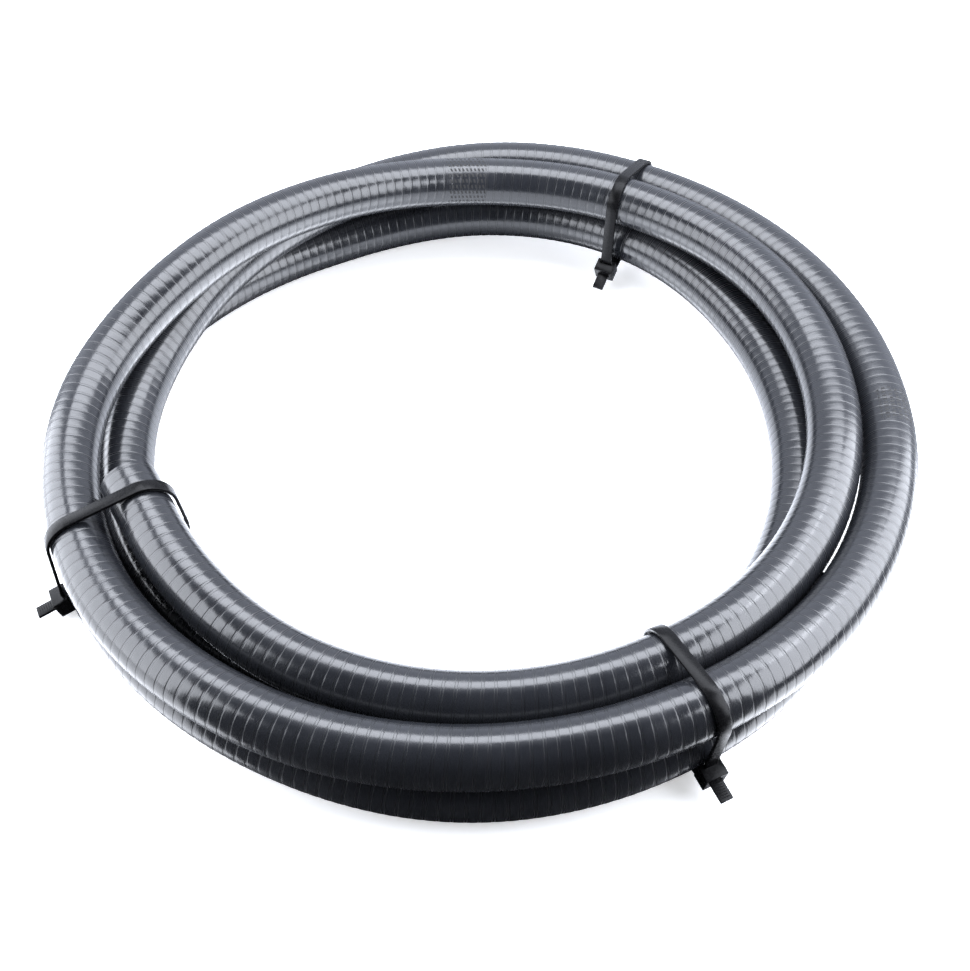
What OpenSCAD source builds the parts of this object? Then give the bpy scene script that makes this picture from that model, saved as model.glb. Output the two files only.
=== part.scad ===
// Coil of spiral-ribbed flexible conduit, held by three cable ties.
// X points right, Y points away from the front and Z points up; the coil lies on the floor at Z = 0.
// Angles run anticlockwise from X, seen from above, and go on past 360 with each turn of the coil.

/* [Conduit] */
// Outside diameter
conduit_d = 21; // [16:0.5:28]
// Wall thickness
wall = 2.5; // [1.5:0.1:4]
// Length of the straight stretch behind the first cut end
straight_l = 26; // [15:1:45]

/* [Coil] */
// Radius of the coil at the middle of its bundle of turns
coil_r = 145; // [120:1:220]
// Clearance between turns that lie against each other
turn_gap = 0.5; // [0.3:0.1:1]

/* [Cable ties] */
// Strap width
strap_w = 4.8; // [3.6:0.1:7.6]
// Strap thickness
strap_t = 1.2; // [1:0.1:1.8]
// Clearance between strap and conduit
strap_gap = 0.4; // [0.3:0.1:1]
// Wall of the head on each side of its slot
head_wall = 1.5; // [1:0.1:3]
// Length of the head, round the bundle
head_l = 7.5; // [6:0.1:12]
// Height of the head above the strap's inner face
head_h = 5.5; // [4.5:0.1:9]
// Thickness of the head's foot below the strap
foot_t = 0.5; // [0.3:0.1:1]
// Clearance round the tail in the head's slot
slot_gap = 0.3; // [0.2:0.05:0.5]
// Length of the tail beyond the head
tail_l = 6; // [3:1:30]

/* [Hidden] */
$fn = 48;

// Middle of the coil. Its ends reach further on one side, so this centres the part on X and Y.
COIL_MIDDLE = [3.76, -2.14, 0];

// Distance between the middles of two turns that lie against each other
spacing = conduit_d + turn_gap;
bore_d = conduit_d - 2 * wall;

// The lay of the turns, one value every lay_step degrees from the first on. ACROSS is how far the conduit lies
// outside the middle of the bundle and UP how far above the floor, both in spacings.
first_angle = 210;
lay_step = 30;
ACROSS = [
    -0.47, -0.53, -0.55, -0.60, -0.60, -0.50, -0.40, -0.35, -0.35, -0.60, -0.40, 0.45,
    0.70, 0.60, 0.45, 0.40, 0.40, 0.50, 0.60, 0.65, 0.65, 0.15, -0.15, -0.12,
    -0.36, -0.75, -0.75, -0.75, -0.95, -0.95, -0.70, -0.25, 0.15, 0.20, 0.50, 0.85,
    0.65, 0.45, 0.40, 0.25, 0.05
];
UP = [
    1.25, 1.00, 1.00, 1.00, 1.00, 1.15, 1.35, 1.30, 1.35, 1.75, 1.85, 1.30,
    1.03, 1.05, 1.10, 1.10, 0.95, 0.90, 1.00, 1.00, 1.05, 1.05, 0.85, 0.30,
    0.05, 0.00, 0.00, 0.00, 0.00, 0.10, 0.25, 0.30, 0.15, 0.00, 0.00, 0.00,
    0.00, 0.05, 0.05, 0.10, 0.00
];
last_angle = first_angle + lay_step * (len(ACROSS) - 1);

// Where the three ties sit round the coil
back_angle = 64;
front_angle = 297;
left_angle = 205;

// Smooth curve through a list of values that stand lay_step degrees apart
function value(list, i) =
    i < 0 ? 2 * list[0] - list[1] :
    i >= len(list) ? 2 * list[len(list) - 1] - list[len(list) - 2] :
    list[i];
function blend(p, q, r, s, t) =
    0.5 * (2 * q + (r - p) * t + (2 * p - 5 * q + 4 * r - s) * t ^ 2 + (3 * q - p - 3 * r + s) * t ^ 3);
function eased(list, angle) =
    let (place = (angle - first_angle) / lay_step, i = min(max(floor(place), 0), len(list) - 2))
    blend(value(list, i - 1), list[i], list[i + 1], value(list, i + 2), place - i);

// At each tie the turns rise over the strap that passes under them
lift_reach = 40;
function apart(a, b) = abs((b - a + 3780) % 360 - 180);
function bump(away) = away < lift_reach ? (1 + cos(180 * away / lift_reach)) / 2 : 0;
function lift(angle) =
    (strap_t + strap_gap) * max([for (tie = [back_angle, front_angle, left_angle]) bump(apart(tie, angle))]);

// Middle of the conduit at an angle: distance from the coil's axis, height above the floor, and the point
function out_at(angle) = coil_r + spacing * eased(ACROSS, angle);
function up_at(angle) = conduit_d / 2 + spacing * max(eased(UP, angle), 0) + lift(angle);
function middle(angle) = [out_at(angle) * cos(angle), out_at(angle) * sin(angle), up_at(angle)];
function unit(v) = v / norm(v);
function heading(angle) = unit(middle(angle + 0.5) - middle(angle - 0.5));

// Stops along the conduit, each with its middle and its heading: the first cut end, then the turns
ring_step = 7.5;
STOPS = concat(
    [[middle(first_angle) - straight_l * heading(first_angle), heading(first_angle)]],
    [for (a = [first_angle:ring_step:last_angle]) [middle(a), heading(a)]]
);

// A ring of points round the conduit at a stop, square to its heading
sides = 18;
function ring(stop, r) =
    let (side = unit(cross(stop[1], [0, 0, 1])), top = cross(side, stop[1]))
    [for (k = [0:sides - 1]) stop[0] + r * (side * cos(360 * k / sides) + top * sin(360 * k / sides))];

// Two triangles for each side of a skin between rings that start at points a and b
function skin(a, b) =
    [for (k = [0:sides - 1]) let (m = (k + 1) % sides) each [[a + k, a + m, b + m], [a + k, b + m, b + k]]];

// The straight stretch gets a true round bore, and the turns' bore is a hair narrower
turn_bore_d = bore_d - 0.2;

module conduit() {
    inside = len(STOPS) * sides;
    last = (len(STOPS) - 1) * sides;
    color("slategray")
    translate(COIL_MIDDLE)
    difference() {
        polyhedron(
            points = [
                for (stop = STOPS) each ring(stop, conduit_d / 2),
                for (stop = STOPS) each ring(stop, turn_bore_d / 2)
            ],
            faces = [
                for (i = [0:sides:last - 1]) each skin(i, i + sides),
                for (i = [inside:sides:inside + last - 1]) each skin(i + sides, i),
                each skin(inside, 0),
                each skin(last, inside + last)
            ]
        );
        translate(STOPS[0][0])
            rotate([0, acos(STOPS[0][1][2]), atan2(STOPS[0][1][1], STOPS[0][1][0])])
                translate([0, 0, -1])
                    cylinder(d = bore_d, h = straight_l + 1);
    }
}

// Each tie lies in an upright plane across the bundle, where x runs outwards from the coil's axis and y up.
// Its strap passes outside ovals, each [middle, half width, half height]: the turns, and two pads below the head.
function turns_at(angle) = [
    for (a = [angle:360:last_angle]) if (a >= first_angle - 5)
        [[out_at(a) - coil_r, up_at(a)], conduit_d / 2, conduit_d / 2]
];
function direction(turn) = [cos(turn), sin(turn)];
function reach(oval, turn) = norm([oval[1] * cos(turn), oval[2] * sin(turn)]);
function furthest(ovals, turn) =
    let (far = [for (oval = ovals) oval[0] * direction(turn) + reach(oval, turn)])
    ovals[search(max(far), far)[0]];
function strap_at(ovals, turn, away) =
    let (oval = furthest(ovals, turn))
    oval[0] + [oval[1] ^ 2 * cos(turn), oval[2] ^ 2 * sin(turn)] / reach(oval, turn) + away * direction(turn);

// The strap leaves one side of the head, goes round, comes back to the other side and bends out through the slot
turn_step = 6;
bend_step = 15;
module strap(ovals, head_turn, seat) {
    along = direction(head_turn + 90);
    out = direction(head_turn);
    function by_head(x, y) = seat + x * along + y * out;
    // Each stop is a point on the strap's inner face and the direction to its outer face
    loop = [
        for (turn = [head_turn + turn_step:turn_step:head_turn + 360 - turn_step])
            [strap_at(ovals, turn, strap_gap), direction(turn)]
    ];
    bend = [
        for (turn = [0:bend_step:90])
            [by_head(strap_t * (1.5 * sin(turn) - 1), strap_t * 1.5 * (1 - cos(turn))), direction(head_turn - turn)]
    ];
    stops = concat(
        [[by_head(head_l / 2 - head_wall, 0), out]],
        loop,
        bend,
        [[by_head(strap_t / 2, strap_t + head_h + tail_l), direction(head_turn - 90)]]
    );
    linear_extrude(strap_w, center = true)
        polygon(concat(
            [for (stop = stops) stop[0]],
            [for (i = [len(stops) - 1:-1:0]) stops[i][0] + strap_t * stops[i][1]]
        ));
}

// The head is open below on the side where the strap comes in
module head() {
    head_w = strap_w + 2 * (slot_gap + head_wall);
    slot_w = strap_w + 2 * slot_gap;
    slot_t = strap_t + 2 * slot_gap;
    difference() {
        translate([-head_l / 2, -foot_t, -head_w / 2])
            cube([head_l, foot_t + head_h, head_w]);
        translate([-slot_t / 2, -foot_t - 1, -slot_w / 2])
            cube([slot_t, foot_t + head_h + 2, slot_w]);
        translate([-head_l / 2 - 1, -foot_t - 1, -slot_w / 2])
            cube([head_l / 2 + 1, foot_t + strap_t + slot_gap + 1, slot_w]);
    }
}

// The head faces head_turn. Its seat stands stand_off clear of the turns, at head_place along them from the middle
// of the bundle's foot. A slack strap also passes outside an oval of its own. All three are in spacings.
module tie(angle, head_turn, stand_off, head_place, slack = []) {
    turns = concat(turns_at(angle), [for (oval = slack) spacing * oval]);
    turns_reach = max([for (oval = turns) oval[0] * direction(head_turn) + reach(oval, head_turn)]);
    seat = (turns_reach + strap_gap + foot_t + spacing * stand_off) * direction(head_turn)
        + spacing * head_place * direction(head_turn + 90);
    pad = 1;
    pads = [
        for (side = [-1, 1])
            let (along = side * (head_l / 2 + pad) * direction(head_turn + 90))
            [seat + along - (pad + strap_gap) * direction(head_turn), pad, pad]
    ];
    color([0.06, 0.06, 0.07])
    translate(COIL_MIDDLE)
    rotate([0, 0, angle])
        translate([coil_r, 0, 0])
            rotate([90, 0, 0]) {
                strap(concat(turns, pads), head_turn, seat);
                translate(seat)
                    rotate([0, 0, head_turn - 90])
                        mirror([1, 0, 0])
                            head();
            }
}

module tie_back() {
    tie(back_angle, 205, 0.19, -0.79);
}

module tie_front() {
    tie(front_angle, -10, 0, 0.55);
}

module tie_left() {
    tie(left_angle, -15, 0, 0.62, [[[-0.57, 1.25], 0.45, 0.7]]);
}

conduit();
tie_back();
tie_front();
tie_left();
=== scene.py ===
import math

import bmesh
import bpy
from mathutils import Matrix, Vector


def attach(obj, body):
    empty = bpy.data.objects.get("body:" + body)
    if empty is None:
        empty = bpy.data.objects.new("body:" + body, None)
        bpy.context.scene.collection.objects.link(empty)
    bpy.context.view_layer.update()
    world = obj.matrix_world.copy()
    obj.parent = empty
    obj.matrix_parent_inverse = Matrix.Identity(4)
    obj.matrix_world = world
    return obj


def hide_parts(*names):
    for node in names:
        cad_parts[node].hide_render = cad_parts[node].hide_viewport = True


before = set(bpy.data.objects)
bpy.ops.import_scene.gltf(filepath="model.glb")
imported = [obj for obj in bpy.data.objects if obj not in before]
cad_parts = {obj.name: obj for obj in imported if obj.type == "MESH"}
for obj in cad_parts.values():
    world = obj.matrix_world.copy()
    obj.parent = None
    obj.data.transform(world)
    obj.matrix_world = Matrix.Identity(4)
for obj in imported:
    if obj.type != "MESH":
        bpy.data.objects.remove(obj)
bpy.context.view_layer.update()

# Sizes in metres, as in the part's source
MM = 0.001
CONDUIT_D = 21 * MM
WALL = 2.5 * MM
STRAIGHT_L = 26 * MM
COIL_R = 145 * MM
TURN_GAP = 0.5 * MM
STRAP_W = 4.8 * MM
STRAP_T = 1.2 * MM
STRAP_GAP = 0.4 * MM
FOOT_T = 0.5 * MM
HEAD_H = 5.5 * MM
COIL_MIDDLE = Vector((3.76 * MM, -2.14 * MM, 0))
SPACING = CONDUIT_D + TURN_GAP
BORE_D = CONDUIT_D - 2 * WALL

# The lay of the turns, one value every LAY_STEP degrees, given as in the part's source. ACROSS is
# how far the conduit lies outside the middle of the bundle and UP how far above the floor, both in spacings.
FIRST_ANGLE = 210
LAY_STEP = 30
ACROSS = [
    -0.47, -0.53, -0.55, -0.60, -0.60, -0.50, -0.40, -0.35, -0.35, -0.60, -0.40, 0.45,
    0.70, 0.60, 0.45, 0.40, 0.40, 0.50, 0.60, 0.65, 0.65, 0.15, -0.15, -0.12,
    -0.36, -0.75, -0.75, -0.75, -0.95, -0.95, -0.70, -0.25, 0.15, 0.20, 0.50, 0.85,
    0.65, 0.45, 0.40, 0.25, 0.05,
]
UP = [
    1.25, 1.00, 1.00, 1.00, 1.00, 1.15, 1.35, 1.30, 1.35, 1.75, 1.85, 1.30,
    1.03, 1.05, 1.10, 1.10, 0.95, 0.90, 1.00, 1.00, 1.05, 1.05, 0.85, 0.30,
    0.05, 0.00, 0.00, 0.00, 0.00, 0.10, 0.25, 0.30, 0.15, 0.00, 0.00, 0.00,
    0.00, 0.05, 0.05, 0.10, 0.00,
]
LAST_ANGLE = FIRST_ANGLE + LAY_STEP * (len(ACROSS) - 1)

# Where the ties sit round the coil, and how many degrees to each side of them the turns start to rise
TIE_ANGLES = {"tie_back": 64, "tie_front": 297, "tie_left": 205}
LIFT_REACH = 40

# The skin's relief: bands with a low crown between shallow grooves. Shares are of one rib's pitch.
RIB_PITCH = 4.2 * MM
GROOVE_SHARE = 0.30
FLANK_SHARE = 0.09
GROOVE_DEPTH = 0.045 * MM
CROWN = 0.03 * MM

# How finely the conduit's mesh is cut, and the angle in radians from which an edge of it stays crisp
SIDES = 24
RINGS_PER_RIB = 5
RIBS_PER_BORE_RING = 3
STRAIGHT_STEPS = 12
WELD = 0.01 * MM
RIM_ANGLE = 1.1

# Where the conduit is printed: first and last rib, and first and last share of the way round
PRINTED = [(140.6, 145.0, 0.16, 0.56), (306.9, 310.9, 0.0, 0.32)]


# ---------------------------------------------------------------- camera

ELEVATION = math.radians(48.76)
TARGET = Vector((3.17 * MM, -13.35 * MM, 0))
DISTANCE = 0.5368
LENS = 49.33
SENSOR_WIDTH = 36


def in_scene(name, data):
    made = bpy.data.objects.new(name, data)
    bpy.context.scene.collection.objects.link(made)
    return made


def facing(place, target):
    """The rotation that points a camera or a lamp at its target."""
    return (Vector(target) - Vector(place)).to_track_quat("-Z", "Y").to_euler()


def studio_camera():
    """Looks down at the coil from the front."""
    data = bpy.data.cameras.new("studio_camera")
    data.lens = LENS
    data.sensor_width = SENSOR_WIDTH
    data.clip_start = 0.01
    data.clip_end = 20
    camera = in_scene("studio_camera", data)
    camera.location = TARGET + DISTANCE * Vector((0, -math.cos(ELEVATION), math.sin(ELEVATION)))
    camera.rotation_euler = facing(camera.location, TARGET)
    bpy.context.scene.camera = camera


studio_camera()


# ---------------------------------------------------------------- the line that the conduit follows

def value(row, i):
    if i < 0:
        return 2 * row[0] - row[1]
    if i >= len(row):
        return 2 * row[-1] - row[-2]
    return row[i]


def blend(p, q, r, s, t):
    square, cube = 2 * p - 5 * q + 4 * r - s, 3 * q - p - 3 * r + s
    return 0.5 * (2 * q + (r - p) * t + square * t**2 + cube * t**3)


def eased(row, angle):
    """The value at an angle, on a smooth curve through a row of values."""
    place = (angle - FIRST_ANGLE) / LAY_STEP
    i = min(max(math.floor(place), 0), len(row) - 2)
    return blend(value(row, i - 1), row[i], row[i + 1], value(row, i + 2), place - i)


def apart(a, b):
    """Degrees from one angle to another, whichever turn each is on."""
    return abs((b - a + 3780) % 360 - 180)


def bump(away):
    return (1 + math.cos(math.pi * away / LIFT_REACH)) / 2 if away < LIFT_REACH else 0


def lift(angle):
    """How far the turns rise over the strap that passes under them."""
    return (STRAP_T + STRAP_GAP) * max(bump(apart(tie, angle)) for tie in TIE_ANGLES.values())


def round_coil(angle, out, up):
    """The point at an angle round the coil, a distance out from its axis and up from the floor."""
    turn = math.radians(angle)
    return COIL_MIDDLE + Vector((out * math.cos(turn), out * math.sin(turn), up))


def out_and_up(angle):
    """The middle of the conduit at an angle, as its distance from the coil's axis and its height."""
    out = COIL_R + SPACING * eased(ACROSS, angle)
    up = CONDUIT_D / 2 + SPACING * max(eased(UP, angle), 0) + lift(angle)
    return out, up


def middle(angle):
    return round_coil(angle, *out_and_up(angle))


def heading(angle):
    return (middle(angle + 0.5) - middle(angle - 0.5)).normalized()


def conduit_line():
    """Points along the middle of the conduit, from the cut end on: its straight stretch, then its turns."""
    start, ahead = middle(FIRST_ANGLE), heading(FIRST_ANGLE)
    straight = [start - STRAIGHT_L * (1 - i / STRAIGHT_STEPS) * ahead for i in range(STRAIGHT_STEPS)]
    return straight + [middle(angle) for angle in range(FIRST_ANGLE, LAST_ANGLE + 1)]


LINE = conduit_line()


# ---------------------------------------------------------------- node helpers

class Nodes:
    """Adds nodes to a tree and links them in one line each."""

    def __init__(self, tree):
        self.tree = tree

    def add(self, kind, inputs=None, **settings):
        node = self.tree.nodes.new(kind)
        for name, setting in settings.items():
            setattr(node, name, setting)
        for key, source in (inputs or {}).items():
            self.feed(node.inputs[key], source)
        return node

    def feed(self, into, source):
        if isinstance(source, bpy.types.NodeSocket):
            self.tree.links.new(source, into)
        else:
            into.default_value = source

    def math(self, operation, *values, clamp=False):
        node = self.add("ShaderNodeMath", dict(enumerate(values)), operation=operation, use_clamp=clamp)
        return node.outputs[0]

    def vector(self, operation, *values):
        node = self.add("ShaderNodeVectorMath", operation=operation)
        for i, source in enumerate(values):
            self.feed(node.inputs["Scale"] if operation == "SCALE" and i == 1 else node.inputs[i], source)
        return node.outputs[0]

    def span(self, source, low, high, start=0.3, end=0.7):
        """Takes a mask from one value to another."""
        ends = {"Value": source, "From Min": start, "From Max": end, "To Min": low, "To Max": high}
        return self.add("ShaderNodeMapRange", ends).outputs[0]

    def mix(self, factor, low, high):
        """Takes a factor from one colour to another."""
        ends = {"Factor": factor, "A": low, "B": high}
        return self.add("ShaderNodeMix", ends, data_type="RGBA").outputs["Result"]

    def stored(self, geometry, name, source, data_type, domain="POINT"):
        """Keeps a value on a mesh under a name."""
        kind = "GeometryNodeStoreNamedAttribute"
        node = self.add(kind, {"Geometry": geometry, "Name": name}, data_type=data_type, domain=domain)
        self.feed([given for given in node.inputs if given.name == "Value" and given.enabled][0], source)
        return node.outputs[0]

    def recalled(self, name, data_type):
        return self.add("GeometryNodeInputNamedAttribute", {"Name": name}, data_type=data_type).outputs[0]


def socket(tree, name, kind, default=None, way="INPUT"):
    made = tree.interface.new_socket(name=name, in_out=way, socket_type=kind)
    if default is not None:
        made.default_value = default


# ---------------------------------------------------------------- materials

def surface_grain():
    """Fine mottling of a moulded or extruded skin: a mask each for colour, roughness and height."""
    tree = bpy.data.node_groups.new("surface_grain", "ShaderNodeTree")
    socket(tree, "Vector", "NodeSocketVector")
    socket(tree, "Grain scale", "NodeSocketFloat", 900)
    socket(tree, "Patch scale", "NodeSocketFloat", 40)
    for mask in ("Patches", "Smears", "Grain"):
        socket(tree, mask, "NodeSocketFloat", way="OUTPUT")
    n = Nodes(tree)
    given, out = n.add("NodeGroupInput").outputs, n.add("NodeGroupOutput").inputs

    def noise(scale, detail, roughness=0.5):
        settings = {"Vector": given["Vector"], "Scale": scale, "Detail": detail, "Roughness": roughness}
        return n.add("ShaderNodeTexNoise", settings).outputs[0]

    n.feed(out["Patches"], noise(given["Patch scale"], 4.0))
    n.feed(out["Smears"], noise(n.math("MULTIPLY", given["Patch scale"], 4.0), 6.0, 0.65))
    n.feed(out["Grain"], noise(given["Grain scale"], 3.0))
    return tree


GRAIN = surface_grain()


def material(name, plain_colour, **constants):
    """A new material, its nodes, and its shader's inputs with the given constants set."""
    made = bpy.data.materials.new(name)
    made.use_nodes = True
    made.diffuse_color = (*plain_colour, 1)
    shader = made.node_tree.nodes["Principled BSDF"]
    for key, setting in constants.items():
        shader.inputs[key.replace("_", " ")].default_value = setting
    return made, Nodes(made.node_tree), shader.inputs


def grain_on(n, grain_scale, patch_scale):
    """The shared grain in a material, at its own scales: patches, smears and grain."""
    group = n.add("ShaderNodeGroup", node_tree=GRAIN)
    n.feed(group.inputs["Vector"], n.add("ShaderNodeTexCoord").outputs["Object"])
    n.feed(group.inputs["Grain scale"], grain_scale)
    n.feed(group.inputs["Patch scale"], patch_scale)
    return group.outputs


def mottled(n, mask, low, high):
    return n.mix(n.span(mask, 0.0, 1.0), (*low, 1), (*high, 1))


def relief(n, shader, height, strength, distance):
    raised = n.add("ShaderNodeBump", {"Height": height, "Strength": strength, "Distance": distance})
    n.feed(shader["Normal"], raised.outputs[0])


def groove_walls(n, ribs, share):
    """A mask for the two slopes of the groove, which follows the same spiral as the mesh."""
    phase = n.math("FRACT", n.math("SUBTRACT", ribs, share))
    near = n.math("MINIMUM", phase, n.math("SUBTRACT", GROOVE_SHARE, phase))
    down = n.math("MULTIPLY", near, 1 / FLANK_SHARE, clamp=True)
    return n.math("MULTIPLY", n.math("MULTIPLY", down, n.math("SUBTRACT", 1.0, down)), 4.0, clamp=True)


def printed_ticks(n, ribs, share):
    """A mask for plain slanting ticks where the conduit carries its print."""
    m = n.math
    rows_round, ticks_per_rib, slant = 26.0, 2.2, 0.37
    tick_width, tick_height = 0.5, 0.62
    inside = 0.0
    for first, last, low, high in PRINTED:
        along = m("MULTIPLY", m("GREATER_THAN", ribs, first), m("LESS_THAN", ribs, last))
        around = m("MULTIPLY", m("GREATER_THAN", share, low), m("LESS_THAN", share, high))
        inside = m("ADD", inside, m("MULTIPLY", along, around))
    rows = m("MULTIPLY", share, rows_round)
    across = m("ADD", m("MULTIPLY", ribs, ticks_per_rib), m("MULTIPLY", rows, slant))
    wide = m("LESS_THAN", m("FRACT", across), tick_width)
    tall = m("LESS_THAN", m("FRACT", rows), tick_height)
    return m("MULTIPLY", inside, m("MULTIPLY", wide, tall))


def lines_round(n, ribs, share):
    """Faint uneven lines that run round the skin."""
    turn = n.math("MULTIPLY", share, 2 * math.pi)
    along = n.math("MULTIPLY", ribs, 5.0)
    spot = n.add("ShaderNodeCombineXYZ", {0: along, 1: n.math("COSINE", turn), 2: n.math("SINE", turn)})
    return n.add("ShaderNodeTexNoise", {"Vector": spot.outputs[0], "Scale": 1.3, "Detail": 3.0}).outputs[0]


def slate_pvc():
    """The conduit's skin. The map on the mesh counts ribs along it and turns round it."""
    made, n, shader = material("slate_pvc", (0.13, 0.16, 0.19), IOR=1.5, Specular_IOR_Level=0.55)
    own_map = n.add("ShaderNodeUVMap", uv_map="UVMap").outputs[0]
    ribs, share, _ = n.add("ShaderNodeSeparateXYZ", {0: own_map}).outputs
    patches, smears, grain = grain_on(n, 1500.0, 28.0)
    walls = groove_walls(n, ribs, share)
    ticks = printed_ticks(n, ribs, share)

    skin = mottled(n, patches, (0.0105, 0.0113, 0.0135), (0.0150, 0.0160, 0.0188))
    # Painted shade: the colour darkens on the groove's two slopes, where the lines look dark
    groove_painted_shade = n.mix(n.math("MULTIPLY", walls, 0.9), skin, (0.004, 0.0042, 0.005, 1))
    n.feed(shader["Base Color"], n.mix(ticks, groove_painted_shade, (0.002, 0.002, 0.002, 1)))

    dull = n.math("ADD", n.span(smears, 0.14, 0.26), n.math("MULTIPLY", walls, 0.2))
    n.feed(shader["Roughness"], n.math("ADD", dull, n.math("MULTIPLY", ticks, 0.5)))

    lines = n.math("MULTIPLY", lines_round(n, ribs, share), 0.10)
    marks = n.math("ADD", n.math("MULTIPLY", smears, 0.02), lines)
    height = n.math("ADD", n.math("MULTIPLY", grain, 0.006), marks)
    relief(n, shader, height, 0.6, 0.4 * MM)
    return made


def cut_pvc():
    """The bare wall at the cut ends and in the bore."""
    made, n, shader = material("cut_pvc", (0.16, 0.18, 0.2), IOR=1.5)
    patches, smears, grain = grain_on(n, 2400.0, 220.0)
    n.feed(shader["Base Color"], mottled(n, patches, (0.12, 0.135, 0.155), (0.17, 0.185, 0.205)))
    n.feed(shader["Roughness"], n.span(smears, 0.42, 0.6))
    relief(n, shader, grain, 0.25, 0.2 * MM)
    return made


def black_nylon():
    """The cable ties' moulded nylon."""
    made, n, shader = material("black_nylon", (0.015, 0.015, 0.017), IOR=1.5, Specular_IOR_Level=0.10)
    patches, smears, grain = grain_on(n, 3000.0, 160.0)
    n.feed(shader["Base Color"], mottled(n, patches, (0.003, 0.003, 0.0032), (0.005, 0.005, 0.0055)))
    n.feed(shader["Roughness"], n.span(smears, 0.22, 0.34))
    relief(n, shader, grain, 0.2, 0.15 * MM)
    return made


SKIN, CUT, NYLON = slate_pvc(), cut_pvc(), black_nylon()


# ---------------------------------------------------------------- conduit

def sheet(n, rows, sides):
    """A flat grid, with each point's row along the conduit and its share of the way round."""
    m = n.math
    counts = {"Vertices X": m("ADD", rows, 1), "Vertices Y": m("ADD", sides, 1)}
    grid = n.add("GeometryNodeMeshGrid", {"Size X": 1, "Size Y": 1, **counts}).outputs[0]
    spot = n.add("ShaderNodeSeparateXYZ", {0: n.add("GeometryNodeInputPosition").outputs[0]}).outputs
    row = m("ROUND", m("MULTIPLY", m("ADD", spot[0], 0.5), rows))
    column = m("ROUND", m("MULTIPLY", m("ADD", spot[1], 0.5), sides))
    return grid, row, m("DIVIDE", column, sides)


def outside(n, given, along, share):
    """The skin's radius: a groove that winds round the conduit, and a low crown on the band between."""
    m = n.math
    groove_share, crown = given["Groove share"], given["Crown"]
    phase = m("FRACT", m("SUBTRACT", m("DIVIDE", along, given["Rib pitch"]), share))
    near = m("MINIMUM", phase, m("SUBTRACT", groove_share, phase))
    down = m("DIVIDE", near, given["Flank share"], clamp=True)
    over = m("DIVIDE", m("SUBTRACT", phase, groove_share), m("SUBTRACT", 1.0, groove_share))
    arch = m("MAXIMUM", m("SINE", m("MULTIPLY", over, math.pi)), 0.0)
    edge = m("SUBTRACT", m("MULTIPLY", given["Outside diameter"], 0.5), crown)
    band = m("ADD", edge, m("MULTIPLY", arch, crown))
    return m("SUBTRACT", band, m("MULTIPLY", down, given["Groove depth"]))


def wrapped(n, given, line, grid, along, share, radius, ring):
    """Bends a flat grid round the line. Its map and its rings' numbers are kept while it is still flat."""
    m, v = n.math, n.vector
    on_map = n.add("ShaderNodeCombineXYZ", {0: m("DIVIDE", along, given["Rib pitch"]), 1: share}).outputs[0]
    grid = n.stored(grid, "UVMap", on_map, "FLOAT2", "CORNER")
    grid = n.stored(grid, "ring", ring, "FLOAT")
    spot = n.add("GeometryNodeSampleCurve", {"Curves": line, "Length": along}, mode="LENGTH").outputs
    ahead = v("NORMALIZE", spot["Tangent"])
    side = v("NORMALIZE", v("CROSS_PRODUCT", ahead, (0, 0, 1)))
    top = v("CROSS_PRODUCT", side, ahead)
    turn = m("MULTIPLY", share, 2 * math.pi)
    out = v("ADD", v("SCALE", side, m("COSINE", turn)), v("SCALE", top, m("SINE", turn)))
    place = v("ADD", spot["Position"], v("SCALE", out, radius))
    return n.add("GeometryNodeSetPosition", {"Geometry": grid, "Position": place}).outputs[0]


def ribbed_skin(n, given, line, length, ribs):
    """Five rings to a rib, sheared so that they follow the spiral, and held back at both cut ends."""
    m = n.math
    pitch, flank, groove_share = given["Rib pitch"], given["Flank share"], given["Groove share"]
    grid, row, share = sheet(n, m("MULTIPLY", ribs, float(RINGS_PER_RIB)), given["Sides"])
    rib = m("FLOOR", m("DIVIDE", row, float(RINGS_PER_RIB)))
    ring = m("MODULO", row, float(RINGS_PER_RIB))
    # Shares of the pitch at which the rings lie: the groove's four edges, then the middle of the band
    edges = [0.0, flank, m("SUBTRACT", groove_share, flank), groove_share]
    places = edges + [m("MULTIPLY", m("ADD", groove_share, 1.0), 0.5)]
    stops = n.add("GeometryNodeIndexSwitch", data_type="FLOAT")
    while len(stops.index_switch_items) < RINGS_PER_RIB:
        stops.index_switch_items.new()
    n.feed(stops.inputs["Index"], ring)
    for i, place in enumerate(places):
        n.feed(stops.inputs[1 + i], place)
    spiral = m("SUBTRACT", m("ADD", m("ADD", rib, stops.outputs[0]), share), 1.0)
    limits = {"Value": m("MULTIPLY", spiral, pitch), "Min": 0.0, "Max": length}
    along = n.add("ShaderNodeClamp", limits).outputs[0]
    return wrapped(n, given, line, grid, along, share, outside(n, given, along, share), ring)


def inner_wall(n, given, line, length, ribs):
    """The bore, and a ring of faces at each cut end that meets the skin."""
    m = n.math
    steps = m("CEIL", m("DIVIDE", ribs, float(RIBS_PER_BORE_RING)))
    last = m("ADD", steps, 2.0)
    grid, row, share = sheet(n, last, given["Sides"])
    along = m("MULTIPLY", m("DIVIDE", m("SUBTRACT", row, 1.0), steps, clamp=True), length)
    from_middle = m("ABSOLUTE", m("SUBTRACT", m("DIVIDE", row, last), 0.5))
    at_rim = m("GREATER_THAN", from_middle, 0.4999)
    bore_r = m("MULTIPLY", given["Bore"], 0.5)
    to_skin = m("SUBTRACT", outside(n, given, along, share), bore_r)
    radius = m("ADD", bore_r, m("MULTIPLY", at_rim, to_skin))
    wall = wrapped(n, given, line, grid, along, share, radius, RINGS_PER_RIB - 1.0)
    wall = n.stored(wall, "cut_wall", True, "BOOLEAN", "FACE")
    return n.add("GeometryNodeFlipFaces", {0: wall}).outputs[0]


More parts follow.
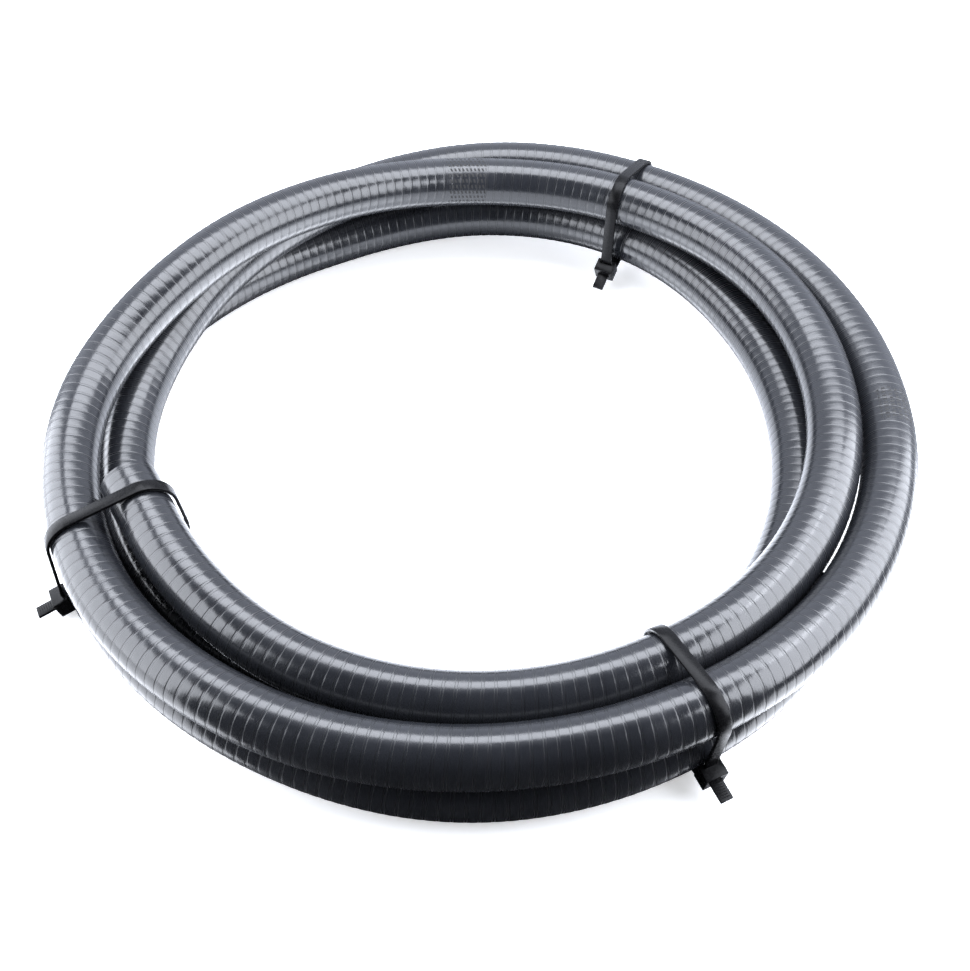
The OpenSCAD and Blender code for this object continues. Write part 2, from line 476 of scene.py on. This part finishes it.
def with_crisp_edges(n, geometry):
    """Smooth faces, with the groove's four edges and the cut ends' rims left crisp."""
    m = n.math
    smooth = n.add("GeometryNodeSetShadeSmooth", {"Geometry": geometry}).outputs[0]
    ends = n.add("GeometryNodeInputMeshEdgeVertices").outputs
    ring = n.recalled("ring", "FLOAT")
    at_end = [{"Index": end, "Value": ring} for end in ends[:2]]
    here, there = (n.add("GeometryNodeFieldAtIndex", settings).outputs[0] for settings in at_end)
    along_groove = m("MULTIPLY", m("COMPARE", here, there, 0.1), m("LESS_THAN", here, RINGS_PER_RIB - 1.5))
    rim = m("GREATER_THAN", n.add("GeometryNodeInputMeshEdgeAngle").outputs[0], RIM_ANGLE)
    return n.stored(smooth, "sharp_edge", m("MAXIMUM", along_groove, rim), "BOOLEAN", "EDGE")


def ribbed_conduit_tree():
    """The whole conduit, along a line: a ribbed skin, closed by the wall of its bore and its cut ends."""
    tree = bpy.data.node_groups.new("ribbed_conduit", "GeometryNodeTree")
    socket(tree, "Line", "NodeSocketGeometry")
    sizes = {
        "Outside diameter": CONDUIT_D,
        "Bore": BORE_D,
        "Rib pitch": RIB_PITCH,
        "Groove depth": GROOVE_DEPTH,
        "Groove share": GROOVE_SHARE,
        "Flank share": FLANK_SHARE,
        "Crown": CROWN,
    }
    for name, size in sizes.items():
        socket(tree, name, "NodeSocketFloat", size)
    socket(tree, "Sides", "NodeSocketInt", SIDES)
    socket(tree, "Skin", "NodeSocketMaterial")
    socket(tree, "Cut", "NodeSocketMaterial")
    socket(tree, "Conduit", "NodeSocketGeometry", way="OUTPUT")
    n = Nodes(tree)
    given = n.add("NodeGroupInput").outputs
    line = n.add("GeometryNodeMeshToCurve", {"Mesh": given["Line"]}).outputs[0]
    length = n.add("GeometryNodeCurveLength", {0: line}).outputs[0]
    ribs = n.math("ADD", n.math("CEIL", n.math("DIVIDE", length, given["Rib pitch"])), 1.0)

    both = n.add("GeometryNodeJoinGeometry")
    n.feed(both.inputs[0], ribbed_skin(n, given, line, length, ribs))
    n.feed(both.inputs[0], inner_wall(n, given, line, length, ribs))
    whole = n.add("GeometryNodeMergeByDistance", {"Geometry": both.outputs[0], "Distance": WELD}).outputs[0]
    real = n.add("GeometryNodeRealizeInstances", {"Geometry": with_crisp_edges(n, whole)}).outputs[0]
    all_skin = n.add("GeometryNodeSetMaterial", {"Geometry": real, "Material": given["Skin"]}).outputs[0]
    at_cut = {"Geometry": all_skin, "Selection": n.recalled("cut_wall", "BOOLEAN"), "Material": given["Cut"]}
    done = n.add("GeometryNodeSetMaterial", at_cut).outputs[0]
    n.feed(n.add("NodeGroupOutput").inputs[0], done)
    return tree


def line_mesh(name, points):
    mesh = bpy.data.meshes.new(name)
    edges = [(i, i + 1) for i in range(len(points) - 1)]
    mesh.from_pydata([tuple(point) for point in points], edges, [])
    return mesh


def plain_mesh(source):
    """An object's mesh as its modifiers leave it. The object itself is removed."""
    depsgraph = bpy.context.evaluated_depsgraph_get()
    evaluated = source.evaluated_get(depsgraph)
    made = bpy.data.meshes.new_from_object(evaluated, preserve_all_data_layers=True, depsgraph=depsgraph)
    source.modifiers.clear()
    bpy.data.objects.remove(source)
    return made


def baked(mesh, tree, finishes):
    """Runs a geometry tree over a mesh, with its materials by name, and returns the plain mesh it makes."""
    source = in_scene(tree.name + "_source", mesh)
    modifier = source.modifiers.new(tree.name, "NODES")
    modifier.node_group = tree
    inputs = [item for item in tree.interface.items_tree if item.in_out == "INPUT"]
    identifiers = {item.name: item.identifier for item in inputs}
    for name, finish in finishes.items():
        modifier[identifiers[name]] = finish
    made = plain_mesh(source)
    # A grid or a cube starts with an empty material slot
    if made.materials[0] is None:
        made.materials.pop(index=0)
    return made


def ribbed_conduit():
    mesh = baked(line_mesh("conduit_line", LINE), ribbed_conduit_tree(), {"Skin": SKIN, "Cut": CUT})
    for helper in ("ring", "cut_wall"):
        mesh.attributes.remove(mesh.attributes[helper])
    return in_scene("ribbed_conduit", mesh)


conduit = ribbed_conduit()


# ---------------------------------------------------------------- ties

# For each tie, as in the part's source: the way its head faces, how far its seat stands off the turns and
# how far along them it is. A slack strap also passes outside an oval: its middle, half width and half height.
HEADS = {"tie_back": (205, 0.19, -0.79), "tie_front": (-10, 0, 0.55), "tie_left": (-15, 0, 0.62)}
SLACK = {"tie_left": ((-0.57, 1.25), 0.45, 0.7)}
EDGE_RADIUS = 0.2 * MM
EDGE_SEGMENTS = 2
EDGE_ANGLE = math.radians(40)
TOOTH_PITCH = 0.9 * MM
TOOTH_HEIGHT = 0.3 * MM
TOOTH_WIDTH = 0.62 * STRAP_W
TEETH_ON_TAIL = 7
TOOTH_START = 0.6 * TOOTH_PITCH


def direction(turn):
    return Vector((math.cos(math.radians(turn)), math.sin(math.radians(turn))))


def ovals_at(tie):
    """What a tie's strap passes outside, across the bundle: the turns, and the slack."""
    ovals = []
    for angle in range(TIE_ANGLES[tie], LAST_ANGLE + 1, 360):
        if angle >= FIRST_ANGLE - 5:
            out, up = out_and_up(angle)
            ovals.append((Vector((out - COIL_R, up)), CONDUIT_D / 2, CONDUIT_D / 2))
    if tie in SLACK:
        spot, half_width, half_height = SLACK[tie]
        ovals.append((SPACING * Vector(spot), SPACING * half_width, SPACING * half_height))
    return ovals


def tail_foot(tie):
    """Where a tie's tail starts, as a matrix: Z runs out along the tail and Y off its toothed face."""
    head_turn, stand_off, head_place = HEADS[tie]
    out, along = direction(head_turn), direction(head_turn + 90)
    reach = max(
        spot.dot(out) + Vector((half_width * out.x, half_height * out.y)).length
        for spot, half_width, half_height in ovals_at(tie)
    )
    seat = (reach + STRAP_GAP + FOOT_T + SPACING * stand_off) * out + SPACING * head_place * along
    foot = seat + STRAP_T / 2 * along + HEAD_H * out

    def upright(flat):
        """A way across the bundle, turned to stand in the tie's upright plane."""
        across = direction(TIE_ANGLES[tie])
        return Vector((flat.x * across.x, flat.x * across.y, flat.y))

    off, up_tail = upright(along), upright(out)
    turned = Matrix((off.cross(up_tail), off, up_tail)).transposed().to_4x4()
    return Matrix.Translation(round_coil(TIE_ANGLES[tie], COIL_R + foot.x, foot.y)) @ turned


def teeth_tree():
    """Low saw teeth in a row up Z, across X, standing off Y = 0."""
    tree = bpy.data.node_groups.new("strap_teeth", "GeometryNodeTree")
    socket(tree, "Base", "NodeSocketGeometry")
    socket(tree, "Pitch", "NodeSocketFloat", TOOTH_PITCH)
    socket(tree, "Count", "NodeSocketInt", TEETH_ON_TAIL)
    socket(tree, "Tooth width", "NodeSocketFloat", TOOTH_WIDTH)
    socket(tree, "Tooth height", "NodeSocketFloat", TOOTH_HEIGHT)
    socket(tree, "Finish", "NodeSocketMaterial")
    socket(tree, "Teeth", "NodeSocketGeometry", way="OUTPUT")
    n = Nodes(tree)
    m = n.math
    given = n.add("NodeGroupInput").outputs
    pitch = given["Pitch"]
    step = n.add("ShaderNodeCombineXYZ", {2: pitch}).outputs[0]
    row = n.add("GeometryNodeMeshLine", {"Count": given["Count"], "Offset": step}).outputs[0]
    sizes = {0: given["Tooth width"], 1: given["Tooth height"], 2: m("MULTIPLY", pitch, 0.55)}
    size = n.add("ShaderNodeCombineXYZ", sizes).outputs[0]
    block = n.add("GeometryNodeMeshCube", {"Size": size}).outputs[0]
    # The lower edge of each tooth's outer face is drawn up, which slopes the tooth
    spot = n.add("ShaderNodeSeparateXYZ", {0: n.add("GeometryNodeInputPosition").outputs[0]}).outputs
    outer_and_low = m("MULTIPLY", m("GREATER_THAN", spot[1], 0.0), m("LESS_THAN", spot[2], 0.0))
    rise = m("MULTIPLY", outer_and_low, m("MULTIPLY", pitch, 0.3))
    drawn = n.add("ShaderNodeCombineXYZ", {2: rise}).outputs[0]
    tooth = n.add("GeometryNodeSetPosition", {"Geometry": block, "Offset": drawn}).outputs[0]
    placed = n.add("GeometryNodeInstanceOnPoints", {"Points": row, "Instance": tooth}).outputs[0]
    real = n.add("GeometryNodeRealizeInstances", {"Geometry": placed}).outputs[0]
    done = n.add("GeometryNodeSetMaterial", {"Geometry": real, "Material": given["Finish"]}).outputs[0]
    n.feed(n.add("NodeGroupOutput").inputs[0], done)
    return tree


TEETH = teeth_tree()


def rounded_copy(node):
    """A CAD node's shape with its corners rounded, as a plain mesh."""
    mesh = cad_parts[node].data.copy()
    shape = bmesh.new()
    shape.from_mesh(mesh)
    bmesh.ops.remove_doubles(shape, verts=shape.verts, dist=WELD)
    bmesh.ops.dissolve_limit(shape, angle_limit=math.radians(0.5), verts=shape.verts, edges=shape.edges)
    for face in shape.faces:
        face.smooth = True
    shape.to_mesh(mesh)
    shape.free()
    mesh.materials.clear()
    mesh.materials.append(NYLON)
    source = in_scene(node + "_source", mesh)
    bevel = source.modifiers.new("rounding", "BEVEL")
    bevel.width = EDGE_RADIUS
    bevel.segments = EDGE_SEGMENTS
    bevel.limit_method = "ANGLE"
    bevel.angle_limit = EDGE_ANGLE
    bevel.harden_normals = True
    return plain_mesh(source)


def toothed_tie(tie):
    """A tie with rounded corners and a row of teeth on its tail."""
    body = rounded_copy(tie)
    teeth = baked(bpy.data.meshes.new("no_points"), TEETH, {"Finish": NYLON})
    teeth.transform(tail_foot(tie) @ Matrix.Translation((0, 0, TOOTH_START)))
    shape = bmesh.new()
    shape.from_mesh(body)
    shape.from_mesh(teeth)
    shape.to_mesh(body)
    shape.free()
    return in_scene(tie + "_nylon", body)


ties = [toothed_tie(tie) for tie in TIE_ANGLES]


# ---------------------------------------------------------------- floor and light

FLOOR_REACH = 3.0
SHINE_IN_COIL = 3.0
SHINE_EDGE = (0.10, 0.135)
COOL = (0.95, 0.985, 1.065)

# Each softbox: its place, the point that it faces, its width and height, and its brightness in units of a
# white page's. The one above faces a hair off plumb, which fixes the way that it is turned.
SOFTBOXES = {
    "left_box": ((-0.40, -0.05, 0.20), (0, -0.05, 0.12), 0.50, 0.40, 7.5),
    "right_box": ((0.40, -0.06, 0.26), (0, -0.06, 0.10), 0.48, 0.40, 9.5),
    "over_box": ((0.08, 0.245, 0.60), (0.08, 0.2449, 0), 0.82, 0.38, 9.5),
}


def for_camera(n, seen, otherwise):
    """One shader for the camera and another for every other ray."""
    to_camera = n.add("ShaderNodeLightPath").outputs["Is Camera Ray"]
    return n.add("ShaderNodeMixShader", {0: to_camera, 1: otherwise, 2: seen}).outputs[0]


def white_table():
    """Plain white to look at. To the conduit it is a polished top with a painted pool of light inside the
    coil, where the top itself glows.
    """
    made, n, shader = material("white_table", (0.9, 0.9, 0.9), Roughness=0.6)
    patches = grain_on(n, 400.0, 3.0)["Patches"]
    n.feed(shader["Base Color"], mottled(n, patches, (0.93, 0.93, 0.93), (0.95, 0.95, 0.95)))
    n.feed(shader["Emission Color"], (1, 1, 1, 1))
    n.feed(shader["Emission Strength"], 0.45)
    polish = n.add("ShaderNodeBsdfGlossy", {"Color": (0.6, 0.6, 0.6, 1), "Roughness": 0.2}).outputs[0]
    place = n.add("ShaderNodeTexCoord").outputs["Object"]
    out = n.add("ShaderNodeVectorMath", {0: place}, operation="LENGTH").outputs["Value"]
    # Painted light: the top glows inside the coil, a pool of light that only the conduit's reflections see
    shine = n.span(out, SHINE_IN_COIL, 0.0, *SHINE_EDGE)
    pool = n.add("ShaderNodeEmission", {"Color": (0.92, 0.97, 1.08, 1), "Strength": shine}).outputs[0]
    lit = n.add("ShaderNodeAddShader", {0: polish, 1: pool}).outputs[0]
    nodes = made.node_tree.nodes
    table = for_camera(n, nodes["Principled BSDF"].outputs[0], lit)
    n.feed(nodes["Material Output"].inputs["Surface"], table)
    return made


def studio_floor():
    mesh = bpy.data.meshes.new("studio_floor")
    corners = [(x * FLOOR_REACH, y * FLOOR_REACH, 0) for x, y in ((-1, -1), (1, -1), (1, 1), (-1, 1))]
    mesh.from_pydata(corners, [], [(0, 1, 2, 3)])
    mesh.materials.append(white_table())
    floor = in_scene("studio_floor", mesh)


def softbox(name, place, target, width, height, brightness):
    """A lamp with an even face, out of the camera's sight."""
    data = bpy.data.lights.new(name, "AREA")
    data.shape = "RECTANGLE"
    data.size, data.size_y = width, height
    data.energy = brightness * math.pi * width * height
    data.color = COOL
    box = in_scene(name, data)
    box.location = place
    box.rotation_euler = facing(place, target)
    box.visible_camera = False


def studio_air():
    """Dim light from all round: a pale wall behind, and a dark room in front."""
    world = bpy.data.worlds.new("studio_air")
    world.use_nodes = True
    n = Nodes(world.node_tree)
    way = n.add("ShaderNodeSeparateXYZ", {0: n.add("ShaderNodeTexCoord").outputs["Generated"]}).outputs
    wall = n.span(way[1], 0.015, 1.4, -0.05, 0.5)
    room = n.add("ShaderNodeBackground", {"Color": (0.91, 0.97, 1.12, 1), "Strength": wall}).outputs[0]
    white = n.add("ShaderNodeBackground", {"Color": (1, 1, 1, 1), "Strength": 1.0}).outputs[0]
    n.feed(world.node_tree.nodes["World Output"].inputs["Surface"], for_camera(n, white, room))
    bpy.context.scene.world = world
    bpy.context.scene.view_settings.view_transform = "Standard"


studio_floor()
for name, settings in SOFTBOXES.items():
    softbox(name, *settings)
studio_air()


# ---------------------------------------------------------------- each piece on the root body, with its CAD part hidden

dressed = [(conduit, "conduit", "conduit")] + [(piece, node, "tie") for piece, node in zip(ties, TIE_ANGLES)]
for piece, node, slot in dressed:
    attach(piece, "root")
    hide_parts(node)
